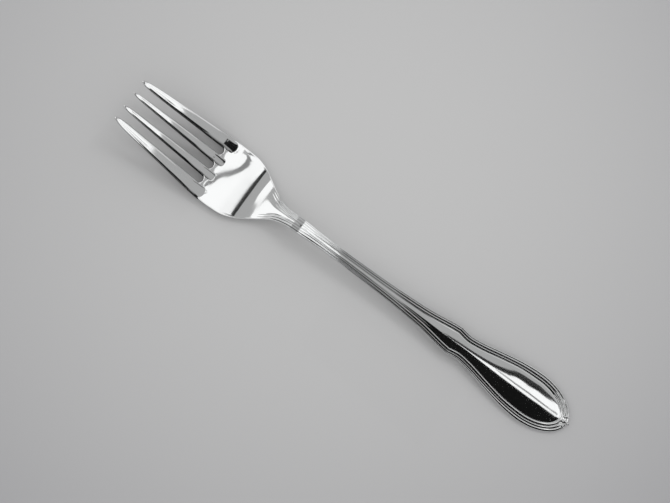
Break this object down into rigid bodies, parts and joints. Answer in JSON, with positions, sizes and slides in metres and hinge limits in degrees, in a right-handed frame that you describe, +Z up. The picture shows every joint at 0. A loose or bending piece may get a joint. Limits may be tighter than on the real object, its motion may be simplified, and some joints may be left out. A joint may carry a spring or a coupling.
{
  "type": "dinner fork",
  "caption": "Polished stainless steel dinner fork with a slim stem, a flared handle edged by a double-thread border and a lobed ornament at the handle's tip.",
  "frame": {"origin": "centre of the fork's outline on the table that it rests on", "axes": "+X from the tine tips to the end of the handle, +Y to the fork's left, +Z up from the table"},
  "size_m": [0.205, 0.0262, 0.0135],
  "materials": {
    "polished_steel": "mirror-polished 18/10 stainless steel"
  },
  "bodies": {
    "root": {"outer_tine_left": "polished_steel", "inner_tine_left": "polished_steel", "inner_tine_right": "polished_steel", "outer_tine_right": "polished_steel", "palm": "polished_steel", "neck": "polished_steel", "stem": "polished_steel", "handle_panel": "polished_steel", "border_left": "polished_steel", "border_right": "polished_steel", "tip_ornament": "polished_steel"}
  },
  "joints": []
}
